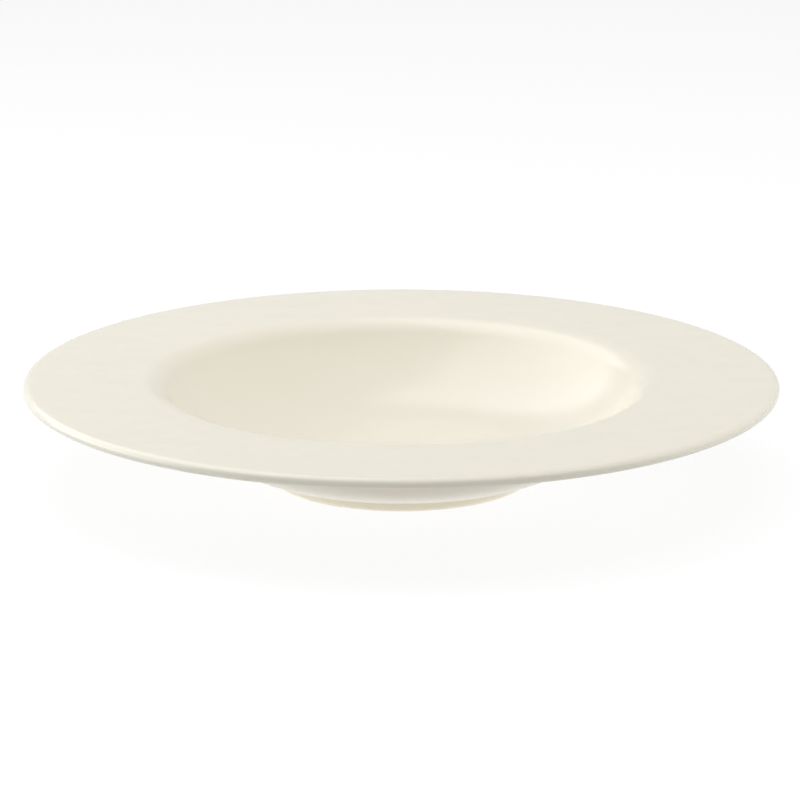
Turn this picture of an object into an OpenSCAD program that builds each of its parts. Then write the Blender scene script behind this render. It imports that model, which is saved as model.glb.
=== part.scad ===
// Pasta bowl in glazed porcelain: a wide, almost level rim round a deep round well, on a low
// foot ring. Millimetres, with the foot's bearing edge on z = 0 and the bowl's axis on z.
// The clay is one turned section. The glaze is a separate coat on it, drawn from the same
// outline stood off by the coat's thickness, and wiped from the edge that the bowl stands on.

/* [Overall] */
// Diameter over the glazed lip
rim_d = 300; // [280:1:330]
// Height from the table to the top of the glazed lip
bowl_h = 42; // [38:1:50]

/* [Rim] */
// Thickness of the rim's clay
rim_t = 3.4; // [3:0.1:4.4]
// How steeply the rim climbs outwards, in degrees
rim_angle = 1.6; // [0:0.1:5]
// Radius of the lip's soft upper edge
lip_top_r = 4; // [3:0.1:6]
// Radius of the lip's nose
lip_nose_r = 1.5; // [1:0.1:1.7]

/* [Well] */
// Diameter of the well over its shoulder, where the level rim begins
well_d = 205; // [190:1:216]
// Radius of the shoulder between the rim and the well's wall
shoulder_r = 11; // [5:0.5:16]
// Diameter of the well's flat floor
floor_d = 84; // [60:1:94]
// Thickness of the clay in the floor
floor_t = 4.6; // [4:0.1:6]
// Thickness of the clay in the wall
wall_t = 4.6; // [4:0.1:6]
// Radius of the hollow between the wall's outside and the rim's underside
under_rim_r = 12; // [6:0.5:18]

/* [Foot] */
// Diameter of the foot ring at the table
foot_d = 106; // [100:1:120]
// Width of the foot ring at the table, over its rounded edges
foot_w = 5; // [4:0.1:7]
// Height of the floor's underside over the table, inside the foot ring
recess_h = 3.4; // [3:0.1:5]
// Lean of the foot ring's sides, in degrees
foot_draft = 4; // [0:0.5:8]
// Radius of the foot ring's two lower edges
foot_edge_r = 1.4; // [0.8:0.1:1.6]
// Radius of the hollows where the foot ring meets the bowl
foot_root_r = 1.2; // [0.8:0.1:1.4]

/* [Glaze] */
// Thickness of the fired glaze
glaze_t = 0.3; // [0.2:0.05:0.5]

/* [Hidden] */
// Most that a drawn arc may stand off its true curve
arc_sag = 0.02;
// Points closer than this are one point
same_point = 0.001;
// Steps round the axis
turn_steps = 180;

// Unit vectors along the rim, outwards, and square to its upper face
rim_along = [cos(rim_angle), sin(rim_angle)];
rim_up = [-sin(rim_angle), cos(rim_angle)];

// Lip: the soft upper arc runs into the nose, and the nose into the rim's underside
nose_r = min(lip_nose_r, rim_t / 2);
brow_r = max(lip_top_r, rim_t / 2);
nose_rise = brow_r + nose_r - rim_t;
nose_reach = sqrt(max(0, pow(brow_r - nose_r, 2) - pow(nose_rise, 2)));
nose_step = nose_reach * rim_along + nose_rise * rim_up;
brow_c = [rim_d / 2 - glaze_t - nose_r - nose_step.x, bowl_h - glaze_t - brow_r];
nose_c = brow_c + nose_step;
nose_turn = rim_angle + atan2(nose_rise, nose_reach);

// Shoulder: rolls off the rim's upper face at the well's diameter
rim_run = (brow_c.x + brow_r * rim_up.x - well_d / 2) / rim_along.x;
shoulder_c = brow_c + (brow_r - shoulder_r) * rim_up - rim_run * rim_along;

// Well: one arc that leaves the floor level and runs into the shoulder
floor_z = recess_h + floor_t;
well_out = shoulder_c.x - floor_d / 2;
well_up = shoulder_c.y - floor_z;
well_r = (pow(well_out, 2) + pow(well_up, 2) - pow(shoulder_r, 2)) / (2 * (well_up + shoulder_r));
well_c = [floor_d / 2, floor_z + well_r];
wall_r = well_r + wall_t;

// Hollow under the rim: touches the wall's outside and the rim's underside
under_c = rolled(nose_c - (nose_r + under_rim_r) * rim_up, rim_along, under_rim_r);

// Foot ring: leaning sides, rounded lower edges and hollow roots
foot_out = [cos(foot_draft), -sin(foot_draft)];
foot_down = [-sin(foot_draft), -cos(foot_draft)];
foot_in = [-cos(foot_draft), -sin(foot_draft)];
edge_set = foot_edge_r * (1 - sin(foot_draft)) / cos(foot_draft);
outer_edge_c = [foot_d / 2 - edge_set, foot_edge_r];
inner_edge_c = [foot_d / 2 - foot_w + edge_set, foot_edge_r];
outer_root_c = rolled([foot_d / 2, 0] + foot_root_r * foot_out, foot_down, foot_root_r);
inner_run = (recess_h - foot_root_r * (1 - sin(foot_draft))) / cos(foot_draft);
inner_root_c = [foot_d / 2 - foot_w - inner_run * sin(foot_draft), 0]
    + [foot_root_r * foot_in.x, recess_h - foot_root_r];

// Centre of a circle of radius r that touches the wall's outside. It lies on the line through
// p along the unit vector u, at the further of the two places.
function rolled(p, u, r) =
    let (v = p - well_c, along = v * u)
    p + u * (sqrt(pow(along, 2) - v * v + pow(wall_r + r, 2)) - along);

// Direction from a to b, in degrees
function heading(a, b) = atan2(b.y - a.y, b.x - a.x);

// Point at radius r and angle a round the centre c
function at(c, r, a) = c + r * [cos(a), sin(a)];

// Arc of radius r round c, drawn at a distance of grow outside it
function arc(c, r, grow, from, to) =
    let (steps = ceil(abs(to - from) / (2 * acos(1 - arc_sag / r))))
    [for (i = [0:steps]) at(c, r + grow, from + (to - from) * i / steps)];

function reversed(points) = [for (i = [len(points) - 1:-1:0]) points[i]];

// Drops each point that repeats the one before it, where one arc runs into the next
function cleaned(points) =
    [for (i = [0:len(points) - 1])
        let (before = points[(i + len(points) - 1) % len(points)])
        if (norm(points[i] - before) > same_point) points[i]];

// From the wiped edge of the foot up the outside, round the lip and down into the well
function upper_outline(coat) = concat(
    [at(outer_edge_c, foot_edge_r + coat, -foot_draft)],
    arc(outer_root_c, foot_root_r, -coat, 180 - foot_draft, heading(outer_root_c, well_c)),
    arc(well_c, wall_r, coat, heading(well_c, outer_root_c), heading(well_c, under_c)),
    arc(under_c, under_rim_r, -coat, heading(under_c, well_c), 90 + rim_angle),
    arc(nose_c, nose_r, coat, rim_angle - 90, nose_turn),
    arc(brow_c, brow_r, coat, nose_turn, 90 + rim_angle),
    arc(shoulder_c, shoulder_r, coat, 90 + rim_angle, heading(shoulder_c, well_c)),
    arc(well_c, well_r, -coat, heading(well_c, shoulder_c), -90),
    [[0, floor_z + coat]]
);

// From the wiped edge of the foot up its inner side and along the underside of the floor
function base_outline(coat) = concat(
    [at(inner_edge_c, foot_edge_r + coat, 180 + foot_draft)],
    arc(inner_root_c, foot_root_r, -coat, foot_draft, 90),
    [[0, recess_h - coat]]
);

// The bare bearing edge, from the inner side of the foot round to the outer
function bearing_outline() = concat(
    arc(inner_edge_c, foot_edge_r, 0, 180 + foot_draft, 270),
    arc(outer_edge_c, foot_edge_r, 0, 270, 360 - foot_draft)
);

module turned(points) {
    rotate_extrude($fn = turn_steps) polygon(cleaned(points));
}

// Fired porcelain: rim, well and foot ring in one
module porcelain_body() {
    color("antiquewhite")
        turned(concat(upper_outline(0), reversed(base_outline(0)), bearing_outline()));
}

// Glaze over the well, the rim, the lip and the outside, down to the foot's wiped edge
module glaze_coat() {
    color("ivory") turned(concat(upper_outline(glaze_t), reversed(upper_outline(0))));
}

// Glaze inside the foot ring, cut off from the rest by the bare edge
module base_glaze() {
    color("ivory") turned(concat(base_outline(glaze_t), reversed(base_outline(0))));
}

porcelain_body();
glaze_coat();
base_glaze();
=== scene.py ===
"""Pasta bowl in ivory glazed porcelain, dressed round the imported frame.

The section of the bowl is drawn once, in metres, from the sizes that the solids have. The fired clay and
the two coats of glaze are turned from it. Places in it are (r, z) pairs: out from the axis, and up from
the table. Its angles are in degrees. Angles round the axis are in radians.
"""
import math

import bmesh
import bpy
import numpy as np
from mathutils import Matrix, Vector


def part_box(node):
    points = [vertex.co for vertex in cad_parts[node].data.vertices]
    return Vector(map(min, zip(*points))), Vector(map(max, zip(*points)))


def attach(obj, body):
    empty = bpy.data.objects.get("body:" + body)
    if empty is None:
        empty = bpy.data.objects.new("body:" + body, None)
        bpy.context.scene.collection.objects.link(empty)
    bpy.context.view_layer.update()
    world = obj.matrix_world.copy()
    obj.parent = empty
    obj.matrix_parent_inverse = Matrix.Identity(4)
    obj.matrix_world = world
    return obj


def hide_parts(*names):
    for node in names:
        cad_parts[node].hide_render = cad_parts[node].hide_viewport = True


MM = 0.001

# Rim and lip
RIM_T = 3.4 * MM
RIM_ANGLE = 1.6
LIP_TOP_R = 4.0 * MM
LIP_NOSE_R = 1.5 * MM

# Well
WELL_R = 102.5 * MM
SHOULDER_R = 11 * MM
FLOOR_R = 42 * MM
FLOOR_T = 4.6 * MM
WALL_T = 4.6 * MM
UNDER_RIM_R = 12 * MM

# Foot ring
FOOT_R = 53 * MM
FOOT_W = 5 * MM
RECESS_H = 3.4 * MM
FOOT_DRAFT = 4
FOOT_EDGE_R = 1.4 * MM
FOOT_ROOT_R = 1.2 * MM

# Glaze
GLAZE_T = 0.3 * MM

# Fineness of the turned meshes
TURN_STEPS = 240
ARC_STEP = 1.2 * MM
ARC_TURN = 7
FLAT_STEP = 4 * MM
SAME_POINT = 0.01 * MM

# What firing does to the shape: the rim settles a little, and the wiped edge of the glaze wanders.
# Each wave has its count round the axis and its size. The rim's waves also have their start.
RIM_SAG = 0.2 * MM
SAG_FROM = 105 * MM
SAG_WAVES = ((2, 0.3, 1.1), (3, 0.2, 0.4))
WIPE_LIFT = 0.35 * MM
WIPE_WAVES = ((3, 0.2), (7, 0.14), (13, 0.09), (29, 0.05))
WIPE_SEED = 4

# Glaze and clay. A noise's scale is per metre. A share says how much of an effect is let in.
SPECK = (0.42, 0.36, 0.27, 1)
PORCELAIN_IOR = 1.5
NOISE_LOW = 0.3
NOISE_HIGH = 0.7
RING_DRIFT_SCALE = 30

# Ivory glaze
IVORY = (0.805, 0.76, 0.648, 1)
IVORY_DEEP = (0.787, 0.738, 0.617, 1)
IVORY_THIN = (0.815, 0.78, 0.675, 1)
CLOUD_SCALE = 22
CLOUD_SHARE = 0.35
COAT_POOLS_BELOW = 12 * MM
BASE_POOLS_BELOW = 6 * MM
POOLED_SHARE = 0.45
THIN_SHARE = 0.5
GLAZE_SPECKS = {"Spacing": 18 * MM, "Size": 0.22 * MM, "Share": 0.3}
GLAZE_SPECKS_SHARE = 0.45
GLAZE_RINGS = {"Pitch": 4.5 * MM, "Wander": 0.6}
GLAZE_RINGS_SHARE = 0.02
RIPPLE_SCALE = 45
PEEL_SCALE = 700
PEEL_SHARE = 0.03
SHEEN_SCALE = 140
GLAZE_SMOOTHEST = 0.18
GLAZE_ROUGHEST = 0.23

# Bare clay
CLAY = (0.825, 0.79, 0.695, 1)
CLAY_RUBBED = (0.55, 0.52, 0.46, 1)
RUBBED_BELOW = 0.6 * MM
RUBBED_SHARE = 0.7
BLOTCH_SCALE = 120
GRAIN_SCALE = 2600
CLAY_SPECKS = {"Spacing": 3 * MM, "Size": 0.15 * MM, "Share": 0.4}
CLAY_SPECKS_SHARE = 0.6
CLAY_RINGS = {"Pitch": 0.6 * MM, "Wander": 0.8}
CLAY_RINGS_SHARE = 0.4
CLAY_SMOOTHEST = 0.6
CLAY_ROUGHEST = 0.85

# Table and room: the paper, what the eye and reflections see of it, and the painted glow that it gives
# off under the bowl
WHITE = (1, 1, 1, 1)
BLACK = (0, 0, 0, 1)
DAYLIGHT = (0.955, 0.98, 1, 1)
PAPER = (0.77, 0.77, 0.77, 1)
PAPER_SEEN = 1.06
PAPER_SEEN_SHARE = 0.86
FIBRE_SCALE = 300
FIBRE_DARKEST = 0.97
TABLE_HALF = 2.5
# Painted glow of the paper under the bowl: its strength, where it is full and where it has faded out
TABLE_GLOW = 0.58
TABLE_LIT_TO = 55 * MM
TABLE_DARK_FROM = 130 * MM
ROOM_GLOW = 0.05
MIRRORED_ROOM = 0.69

# Lamps: name, place, width and height, power, colour, and whether the glaze mirrors it
LAMP_AIM = (0, 0, 0.03)
LAMPS = (
    ("left window", (-0.98, 0, 0.27), (1.1, 0.5), 5, DAYLIGHT, True),
    ("back window", (-0.6, 0.32, 0.85), (1.4, 1.2), 7.2, DAYLIGHT, True),
    ("top softbox", (0.05, -0.1, 1.1), (1.0, 1.0), 7.6, WHITE, False),
    ("right softbox", (0.95, -0.05, 0.35), (1.0, 0.5), 4.6, WHITE, False),
    ("front fill", (0.1, -1.4, 0.25), (1.4, 0.3), 1.5, WHITE, False),
)

# Photograph's view: where the camera stands, and the point that it is aimed at
CAMERA_DISTANCE = 1200 * MM
CAMERA_HEIGHT_ANGLE = 15.55
CAMERA_ROUND = 20 * MM
CAMERA_AIM = 30.55 * MM
CAMERA_LEFT = 0.44 * MM
CAMERA_LENS = 134.76
CAMERA_SENSOR = 36


def heading(a, b):
    """Direction from a to b, in degrees."""
    return math.degrees(math.atan2(b[1] - a[1], b[0] - a[0]))


def unit(angle):
    """Vector of length 1 at an angle in degrees."""
    return np.array([math.cos(math.radians(angle)), math.sin(math.radians(angle))])


def arc(centre, radius, grow, start, end):
    """Points of an arc, drawn at a distance of grow outside its own radius."""
    length = radius * math.radians(abs(end - start))
    steps = math.ceil(max(length / ARC_STEP, abs(end - start) / ARC_TURN))
    return [centre + (radius + grow) * unit(start + (end - start) * i / steps) for i in range(steps + 1)]


def rolled_end(centre, angle, first, last):
    """The rounded edge at which a coat of glaze stops, on the foot's side."""
    middle = centre + (FOOT_EDGE_R + GLAZE_T / 2) * unit(angle)
    return arc(middle, GLAZE_T / 2, 0, first, last)


def filled(points):
    """Drops repeated points, and adds points along each long straight run."""
    path = [points[0]]
    for point in points[1:]:
        run = point - path[-1]
        length = np.linalg.norm(run)
        if length < SAME_POINT:
            continue
        start = path[-1]
        steps = math.ceil(length / FLAT_STEP)
        path += [start + run * i / steps for i in range(1, steps + 1)]
    return path


class Section:
    """Centres and radii of every arc in the bowl's section, for the clay."""

    def __init__(self, lip_r, lip_top):
        self.lip_r = lip_r
        along = unit(RIM_ANGLE)
        up = unit(RIM_ANGLE + 90)
        rise = LIP_TOP_R + LIP_NOSE_R - RIM_T
        reach = math.sqrt((LIP_TOP_R - LIP_NOSE_R) ** 2 - rise**2)
        step = reach * along + rise * up
        self.brow = np.array([lip_r - GLAZE_T - LIP_NOSE_R - step[0], lip_top - GLAZE_T - LIP_TOP_R])
        self.nose = self.brow + step
        self.nose_turn = RIM_ANGLE + math.degrees(math.atan2(rise, reach))
        run = (self.brow[0] + LIP_TOP_R * up[0] - WELL_R) / along[0]
        self.shoulder = self.brow + (LIP_TOP_R - SHOULDER_R) * up - run * along
        self.floor_z = RECESS_H + FLOOR_T
        out = self.shoulder[0] - FLOOR_R
        height = self.shoulder[1] - self.floor_z
        self.bowl_r = (out**2 + height**2 - SHOULDER_R**2) / (2 * (height + SHOULDER_R))
        self.bowl = np.array([FLOOR_R, self.floor_z + self.bowl_r])
        self.wall_r = self.bowl_r + WALL_T
        self.under = self.rolled(self.nose - (LIP_NOSE_R + UNDER_RIM_R) * up, along, UNDER_RIM_R)
        lean = math.sin(math.radians(FOOT_DRAFT))
        level = math.cos(math.radians(FOOT_DRAFT))
        inset = FOOT_EDGE_R * (1 - lean) / level
        self.outer_edge = np.array([FOOT_R - inset, FOOT_EDGE_R])
        self.inner_edge = np.array([FOOT_R - FOOT_W + inset, FOOT_EDGE_R])
        foot_side = np.array([FOOT_R, 0]) + FOOT_ROOT_R * unit(-FOOT_DRAFT)
        self.outer_root = self.rolled(foot_side, np.array([-lean, -level]), FOOT_ROOT_R)
        rise_in = (RECESS_H - FOOT_ROOT_R * (1 - lean)) / level
        self.inner_root = np.array([FOOT_R - FOOT_W - rise_in * lean - FOOT_ROOT_R * level,
                                    RECESS_H - FOOT_ROOT_R])

    def rolled(self, point, along, radius):
        """Centre of a circle that touches the wall's outside and lies on a line through the point."""
        v = point - self.bowl
        run = v @ along
        return point + along * (math.sqrt(run**2 - v @ v + (self.wall_r + radius) ** 2) - run)

    def upper(self, coat):
        """From the foot's outer edge up the outside, round the lip and down to the middle of the well."""
        return [
            self.outer_edge + (FOOT_EDGE_R + coat) * unit(-FOOT_DRAFT),
            *arc(self.outer_root, FOOT_ROOT_R, -coat, 180 - FOOT_DRAFT,
                 heading(self.outer_root, self.bowl)),
            *arc(self.bowl, self.wall_r, coat, heading(self.bowl, self.outer_root),
                 heading(self.bowl, self.under)),
            *arc(self.under, UNDER_RIM_R, -coat, heading(self.under, self.bowl), 90 + RIM_ANGLE),
            *arc(self.nose, LIP_NOSE_R, coat, RIM_ANGLE - 90, self.nose_turn),
            *arc(self.brow, LIP_TOP_R, coat, self.nose_turn, 90 + RIM_ANGLE),
            *arc(self.shoulder, SHOULDER_R, coat, 90 + RIM_ANGLE, heading(self.shoulder, self.bowl)),
            *arc(self.bowl, self.bowl_r, -coat, heading(self.bowl, self.shoulder), -90),
            np.array([0, self.floor_z + coat]),
        ]

    def base(self, coat):
        """From the foot's inner edge up its inner side to the middle of the floor's underside."""
        return [
            self.inner_edge + (FOOT_EDGE_R + coat) * unit(180 + FOOT_DRAFT),
            *arc(self.inner_root, FOOT_ROOT_R, -coat, FOOT_DRAFT, 90),
            np.array([0, RECESS_H - coat]),
        ]

    def bearing(self):
        """The bare edge, from the foot's outer side round to its inner side."""
        return [
            *arc(self.outer_edge, FOOT_EDGE_R, 0, -FOOT_DRAFT, -90),
            *arc(self.inner_edge, FOOT_EDGE_R, 0, 270, 180 + FOOT_DRAFT),
        ]


def eased(low, high, value):
    """Rises smoothly from 0 at low to 1 at high."""
    share = min(1, max(0, (value - low) / (high - low)))
    return share * share * (3 - 2 * share)


def wandering(angle, waves):
    """A value that wanders between 0 and 1 round the axis. Waves are their number, size and start."""
    return 0.5 + sum(size * math.sin(count * angle + start) for count, size, start in waves)


def wiper(root, side):
    """A function that lifts the end of a coat along the foot's side, by a little more here and there.

    Side is 1 on the foot's outer side and -1 on its inner side.
    """
    random = np.random.default_rng(WIPE_SEED + side)
    waves = [(count, size, random.uniform(0, 2 * math.pi)) for count, size in WIPE_WAVES]
    low = FOOT_EDGE_R
    high = root[1]
    lean = math.tan(math.radians(FOOT_DRAFT)) * side

    def lift(r, z, angle):
        near = abs(r - root[0]) < 2 * FOOT_ROOT_R
        if not near or z > high:
            return r, z
        up = WIPE_LIFT * wandering(angle, waves) * min(1, (high - z) / (high - low))
        return r + up * lean, z + up

    return lift


def turn(name, path, lip_r, wipe=None):
    """A closed mesh turned from a path that starts and ends on the axis."""
    bm = bmesh.new()
    angles = [2 * math.pi * j / TURN_STEPS for j in range(TURN_STEPS)]
    path = filled(path)
    first = bm.verts.new((0, 0, path[0][1]))
    last = bm.verts.new((0, 0, path[-1][1]))
    rings = []
    for r, z in path[1:-1]:
        ring = []
        for angle in angles:
            here_r, here_z = wipe(r, z, angle) if wipe else (r, z)
            here_z -= RIM_SAG * eased(SAG_FROM, lip_r, here_r) * wandering(angle, SAG_WAVES)
            ring.append(bm.verts.new((here_r * math.cos(angle), here_r * math.sin(angle), here_z)))
        rings.append(ring)
    for j in range(TURN_STEPS):
        k = (j + 1) % TURN_STEPS
        bm.faces.new((first, rings[0][j], rings[0][k]))
        bm.faces.new((last, rings[-1][k], rings[-1][j]))
        for inner, outer in zip(rings, rings[1:]):
            bm.faces.new((inner[j], outer[j], outer[k], inner[k]))
    mesh = bpy.data.meshes.new(name)
    bm.to_mesh(mesh)
    bm.free()
    mesh.shade_smooth()
    piece = bpy.data.objects.new(name, mesh)
    bpy.context.scene.collection.objects.link(piece)
    return piece


def make_body(section):
    path = [*reversed(section.upper(0)), *section.bearing(), *section.base(0)]
    return turn("fired_clay", path, section.lip_r)


def make_coat(section):
    end = rolled_end(section.outer_edge, -FOOT_DRAFT, -FOOT_DRAFT, -FOOT_DRAFT - 180)
    path = [*reversed(section.upper(GLAZE_T)), *end, *section.upper(0)]
    return turn("ivory_glaze", path, section.lip_r, wiper(section.outer_root, 1))


def make_base_coat(section):
    end = rolled_end(section.inner_edge, 180 + FOOT_DRAFT, FOOT_DRAFT, FOOT_DRAFT - 180)
    path = [*reversed(section.base(0)), *end, *section.base(GLAZE_T)]
    return turn("base_ivory_glaze", path, section.lip_r, wiper(section.inner_root, -1))


# Shader graphs

def new_group(name, inputs, outputs):
    """A shader node group with its sockets. Inputs are (name, kind, value)."""
    group = bpy.data.node_groups.new(name, "ShaderNodeTree")
    for label, kind, value in inputs:
        socket = group.interface.new_socket(name=label, in_out="INPUT", socket_type=kind)
        socket.default_value = value
    for label, kind in outputs:
        group.interface.new_socket(name=label, in_out="OUTPUT", socket_type=kind)
    return group, group.nodes.new("NodeGroupInput"), group.nodes.new("NodeGroupOutput")


def node(tree, kind, inputs=None, **settings):
    """A node with its settings, and with its inputs set to values or linked to sockets."""
    made = tree.nodes.new(kind)
    for key, value in settings.items():
        setattr(made, key, value)
    for key, value in (inputs or {}).items():
        if isinstance(value, bpy.types.NodeSocket):
            tree.links.new(value, made.inputs[key])
        else:
            made.inputs[key].default_value = value
    return made


def grouped(tree, group, inputs):
    return node(tree, "ShaderNodeGroup", inputs, node_tree=group).outputs[0]


def maths(tree, operation, a, b=0.0, c=0.0):
    return node(tree, "ShaderNodeMath", {0: a, 1: b, 2: c}, operation=operation).outputs[0]


def place(tree):
    """Position on the object, in metres."""
    return node(tree, "ShaderNodeTexCoord").outputs["Object"]


def height_of(tree, position):
    return node(tree, "ShaderNodeSeparateXYZ", {0: position}).outputs["Z"]


def out_from_axis(tree, position):
    flat = node(tree, "ShaderNodeVectorMath", {0: position, 1: (1, 1, 0)}, operation="MULTIPLY")
    return node(tree, "ShaderNodeVectorMath", {0: flat.outputs[0]}, operation="LENGTH").outputs["Value"]


def ramp_between(tree, value, low, high, at_low=0.0, at_high=1.0):
    return node(tree, "ShaderNodeMapRange",
                {"Value": value, "From Min": low, "From Max": high, "To Min": at_low, "To Max": at_high},
                interpolation_type="SMOOTHSTEP").outputs["Result"]


def noise_at(tree, position, scale, detail=2.0, rough=0.5):
    return node(tree, "ShaderNodeTexNoise",
                {"Vector": position, "Scale": scale, "Detail": detail, "Roughness": rough}).outputs["Fac"]


def mixed(tree, share, a, b):
    """Colour a turning into colour b as share goes from 0 to 1."""
    blend = node(tree, "ShaderNodeMix", {"Factor": share, "A": a, "B": b}, data_type="RGBA")
    return blend.outputs["Result"]


def bumped(tree, height, strength, distance):
    return node(tree, "ShaderNodeBump",
                {"Height": height, "Strength": strength, "Distance": distance}).outputs["Normal"]


def glow(tree, strength):
    """White light of a given strength, which may be a socket."""
    return node(tree, "ShaderNodeEmission", {"Color": WHITE, "Strength": strength}).outputs[0]


def kiln_specks():
    """Sparse dark specks left in the clay and the glaze by the kiln."""
    group, inside, out = new_group(
        "kiln specks",
        [("Position", "NodeSocketVector", (0, 0, 0)), ("Spacing", "NodeSocketFloat", 20 * MM),
         ("Size", "NodeSocketFloat", 0.3 * MM), ("Share", "NodeSocketFloat", 0.3)],
        [("Mask", "NodeSocketFloat")])
    scale = maths(group, "DIVIDE", 1.0, inside.outputs["Spacing"])
    cells = node(group, "ShaderNodeTexVoronoi", {"Vector": inside.outputs["Position"], "Scale": scale})
    size = maths(group, "MULTIPLY", inside.outputs["Size"], scale)
    spot = maths(group, "LESS_THAN", cells.outputs["Distance"], size)
    pick = node(group, "ShaderNodeSeparateColor", {"Color": cells.outputs["Color"]}).outputs[0]
    kept = maths(group, "LESS_THAN", pick, inside.outputs["Share"])
    group.links.new(maths(group, "MULTIPLY", spot, kept), out.inputs["Mask"])
    return group


def turning_rings():
    """Faint rings that the forming tool leaves round the axis."""
    group, inside, out = new_group(
        "turning rings",
        [("Position", "NodeSocketVector", (0, 0, 0)), ("Pitch", "NodeSocketFloat", 2 * MM),
         ("Wander", "NodeSocketFloat", 0.5)],
        [("Height", "NodeSocketFloat")])
    radius = out_from_axis(group, inside.outputs["Position"])
    drift = noise_at(group, inside.outputs["Position"], scale=RING_DRIFT_SCALE)
    count = maths(group, "DIVIDE", radius, inside.outputs["Pitch"])
    moved = maths(group, "MULTIPLY_ADD", drift, inside.outputs["Wander"], count)
    wave = maths(group, "SINE", maths(group, "MULTIPLY", moved, 2 * math.pi))
    group.links.new(maths(group, "MULTIPLY_ADD", wave, 0.5, 0.5), out.inputs["Height"])
    return group


def new_material(name):
    material = bpy.data.materials.new(name)
    material.use_nodes = True
    tree = material.node_tree
    tree.nodes.clear()
    return material, tree, node(tree, "ShaderNodeOutputMaterial")


def ivory_glaze(name, groups, pooled_below, lip_r):
    """Glossy ivory glass, a little deeper where it pools low down and paler where it thins at the lip."""
    material, tree, output = new_material(name)
    position = place(tree)
    patches = noise_at(tree, position, scale=CLOUD_SCALE, detail=3)
    cloud = ramp_between(tree, patches, low=NOISE_LOW, high=NOISE_HIGH, at_high=CLOUD_SHARE)
    pooled = ramp_between(tree, height_of(tree, position), low=pooled_below, high=pooled_below / 3,
                          at_high=POOLED_SHARE)
    thin = ramp_between(tree, out_from_axis(tree, position), low=lip_r - LIP_TOP_R, high=lip_r,
                        at_high=THIN_SHARE)
    colour = mixed(tree, maths(tree, "MAXIMUM", cloud, pooled), IVORY, IVORY_DEEP)
    colour = mixed(tree, thin, colour, IVORY_THIN)
    specks = grouped(tree, groups["specks"], {"Position": position, **GLAZE_SPECKS})
    colour = mixed(tree, maths(tree, "MULTIPLY", specks, GLAZE_SPECKS_SHARE), colour, SPECK)
    ripple = noise_at(tree, position, scale=RIPPLE_SCALE, detail=1)
    peel = noise_at(tree, position, scale=PEEL_SCALE)
    rings = grouped(tree, groups["rings"], {"Position": position, **GLAZE_RINGS})
    relief = maths(tree, "MULTIPLY_ADD", peel, PEEL_SHARE, ripple)
    relief = maths(tree, "MULTIPLY_ADD", rings, GLAZE_RINGS_SHARE, relief)
    sheen = noise_at(tree, position, scale=SHEEN_SCALE, detail=4)
    gloss = ramp_between(tree, sheen, NOISE_LOW, NOISE_HIGH, GLAZE_SMOOTHEST, GLAZE_ROUGHEST)
    shader = node(tree, "ShaderNodeBsdfPrincipled",
                  {"Base Color": colour,
                   "Roughness": gloss,
                   "Normal": bumped(tree, relief, strength=0.25, distance=0.8 * MM),
                   "IOR": PORCELAIN_IOR})
    tree.links.new(shader.outputs[0], output.inputs["Surface"])
    return material


def bare_porcelain(groups):
    """Unglazed clay: fine matt grain, with the bearing edge rubbed a little grey by tables."""
    material, tree, output = new_material("bare porcelain")
    position = place(tree)
    grain = noise_at(tree, position, scale=GRAIN_SCALE, detail=3, rough=0.6)
    blotch = ramp_between(tree, noise_at(tree, position, scale=BLOTCH_SCALE, detail=3), low=0.4, high=0.7)
    worn = ramp_between(tree, height_of(tree, position), low=RUBBED_BELOW, high=0.0, at_high=RUBBED_SHARE)
    colour = mixed(tree, maths(tree, "MULTIPLY", worn, blotch), CLAY, CLAY_RUBBED)
    specks = grouped(tree, groups["specks"], {"Position": position, **CLAY_SPECKS})
    colour = mixed(tree, maths(tree, "MULTIPLY", specks, CLAY_SPECKS_SHARE), colour, SPECK)
    rings = grouped(tree, groups["rings"], {"Position": position, **CLAY_RINGS})
    relief = maths(tree, "MULTIPLY_ADD", rings, CLAY_RINGS_SHARE, grain)
    matt = ramp_between(tree, grain, low=0.2, high=0.8, at_low=CLAY_SMOOTHEST, at_high=CLAY_ROUGHEST)
    shader = node(tree, "ShaderNodeBsdfPrincipled",
                  {"Base Color": colour,
                   "Roughness": matt,
                   "Normal": bumped(tree, relief, strength=0.5, distance=0.08 * MM),
                   "IOR": PORCELAIN_IOR})
    tree.links.new(shader.outputs[0], output.inputs["Surface"])
    return material


def seen_share(tree):
    """1 for what the camera, a reflection or glass sees, and 0 for light that bounces."""
    ray = node(tree, "ShaderNodeLightPath")
    seen = maths(tree, "MAXIMUM", ray.outputs["Is Camera Ray"], ray.outputs["Is Glossy Ray"])
    return maths(tree, "MAXIMUM", seen, ray.outputs["Is Transmission Ray"])


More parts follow.
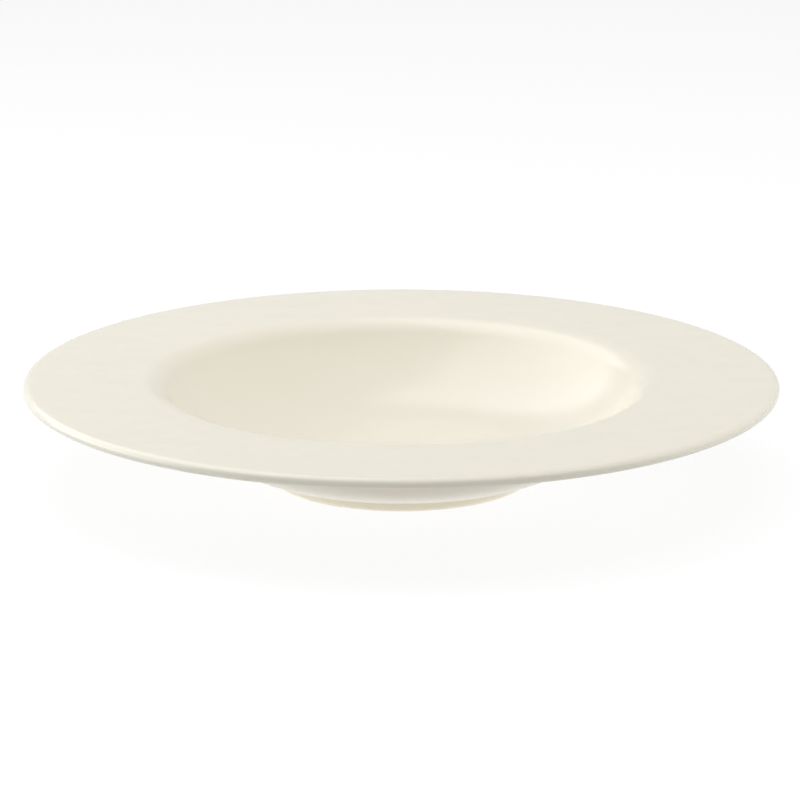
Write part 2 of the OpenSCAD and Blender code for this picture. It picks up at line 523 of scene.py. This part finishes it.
def white_paper():
    """White paper with a painted glow under the bowl, unseen by the eye, that lights the bowl's
    underside. It keeps a faint shadow.

    From below it isn't there, so that the foot can be seen.
    """
    material, tree, output = new_material("white paper")
    position = place(tree)
    fibre = noise_at(tree, position, scale=FIBRE_SCALE, detail=4)
    fibre = ramp_between(tree, fibre, low=NOISE_LOW, high=NOISE_HIGH, at_low=FIBRE_DARKEST)
    paper = node(tree, "ShaderNodeBsdfDiffuse", {"Color": mixed(tree, fibre, BLACK, PAPER)})
    # Painted glow: under the bowl the paper gives off light that only bounce rays see, to light the
    # underside and foot
    under = ramp_between(tree, out_from_axis(tree, position), low=TABLE_DARK_FROM, high=TABLE_LIT_TO)
    unseen = maths(tree, "SUBTRACT", 1.0, seen_share(tree))
    hidden_glow = glow(tree, maths(tree, "MULTIPLY", maths(tree, "MULTIPLY", under, unseen), TABLE_GLOW))
    plain = node(tree, "ShaderNodeAddShader", {0: paper.outputs[0], 1: hidden_glow})
    share = maths(tree, "MULTIPLY", seen_share(tree), PAPER_SEEN_SHARE)
    above = node(tree, "ShaderNodeMixShader", {0: share, 1: plain.outputs[0], 2: glow(tree, PAPER_SEEN)})
    below = node(tree, "ShaderNodeBsdfTransparent")
    side = node(tree, "ShaderNodeNewGeometry").outputs["Backfacing"]
    both = node(tree, "ShaderNodeMixShader", {0: side, 1: above.outputs[0], 2: below.outputs[0]})
    tree.links.new(both.outputs[0], output.inputs["Surface"])
    return material


def make_floor():
    mesh = bpy.data.meshes.new("floor")
    half = TABLE_HALF
    mesh.from_pydata([(-half, -half, 0), (half, -half, 0), (half, half, 0), (-half, half, 0)], [],
                     [(0, 1, 2, 3)])
    floor = bpy.data.objects.new("floor", mesh)
    bpy.context.scene.collection.objects.link(floor)
    floor.data.materials.append(white_paper())


def make_world():
    """White to the eye, a pale grey in reflections, and a faint even light on everything else."""
    world = bpy.data.worlds.new("studio")
    bpy.context.scene.world = world
    world.use_nodes = True
    tree = world.node_tree
    tree.nodes.clear()
    mirrored = node(tree, "ShaderNodeLightPath").outputs["Is Glossy Ray"]
    bright = maths(tree, "MULTIPLY_ADD", mirrored, MIRRORED_ROOM - 1, 1.0)
    seen = node(tree, "ShaderNodeBackground", {"Color": WHITE, "Strength": bright})
    light = node(tree, "ShaderNodeBackground", {"Color": WHITE, "Strength": ROOM_GLOW})
    both = node(tree, "ShaderNodeMixShader",
                {0: seen_share(tree), 1: light.outputs[0], 2: seen.outputs[0]})
    output = node(tree, "ShaderNodeOutputWorld")
    tree.links.new(both.outputs[0], output.inputs["Surface"])


def make_lamp(name, where, size, power, colour, mirrored):
    """A rectangular lamp that faces the bowl. One that isn't mirrored leaves no reflection in it."""
    data = bpy.data.lights.new(name, "AREA")
    data.shape = "RECTANGLE"
    data.size, data.size_y = size
    data.energy = power
    data.color = colour[:3]
    lamp = bpy.data.objects.new(name, data)
    lamp.visible_glossy = mirrored
    lamp.location = where
    lamp.rotation_euler = (Vector(LAMP_AIM) - Vector(where)).to_track_quat("-Z", "Y").to_euler()
    bpy.context.scene.collection.objects.link(lamp)


def make_camera():
    data = bpy.data.cameras.new("camera")
    data.lens = CAMERA_LENS
    data.sensor_width = CAMERA_SENSOR
    camera = bpy.data.objects.new("camera", data)
    out = unit(CAMERA_HEIGHT_ANGLE) * CAMERA_DISTANCE
    camera.location = (-CAMERA_LEFT, -out[0], CAMERA_ROUND + out[1])
    view = Vector((-CAMERA_LEFT, 0, CAMERA_AIM)) - camera.location
    camera.rotation_euler = view.to_track_quat("-Z", "Y").to_euler()
    bpy.context.scene.collection.objects.link(camera)
    bpy.context.scene.camera = camera


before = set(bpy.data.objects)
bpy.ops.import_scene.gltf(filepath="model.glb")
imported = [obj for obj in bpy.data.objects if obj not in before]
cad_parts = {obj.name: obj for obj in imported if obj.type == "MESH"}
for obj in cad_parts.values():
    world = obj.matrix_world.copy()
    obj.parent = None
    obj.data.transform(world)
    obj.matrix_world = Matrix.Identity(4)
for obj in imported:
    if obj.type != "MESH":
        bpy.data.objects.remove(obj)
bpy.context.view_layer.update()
_, coat_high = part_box("glaze_coat")
bpy.context.scene.view_settings.view_transform = "Standard"
make_camera()
make_world()
make_floor()
for lamp in LAMPS:
    make_lamp(*lamp)

section = Section(min(coat_high.x, coat_high.y), coat_high.z)
groups = {"specks": kiln_specks(), "rings": turning_rings()}
for piece, material, replaced, slot in (
    (make_body(section), bare_porcelain(groups), "porcelain_body", "porcelain"),
    (make_coat(section), ivory_glaze("ivory glaze", groups, COAT_POOLS_BELOW, section.lip_r),
     "glaze_coat", "glaze"),
    (make_base_coat(section), ivory_glaze("base ivory glaze", groups, BASE_POOLS_BELOW, section.lip_r),
     "base_glaze", "glaze"),
):
    piece.data.materials.append(material)
    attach(piece, "root")
    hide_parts(replaced)
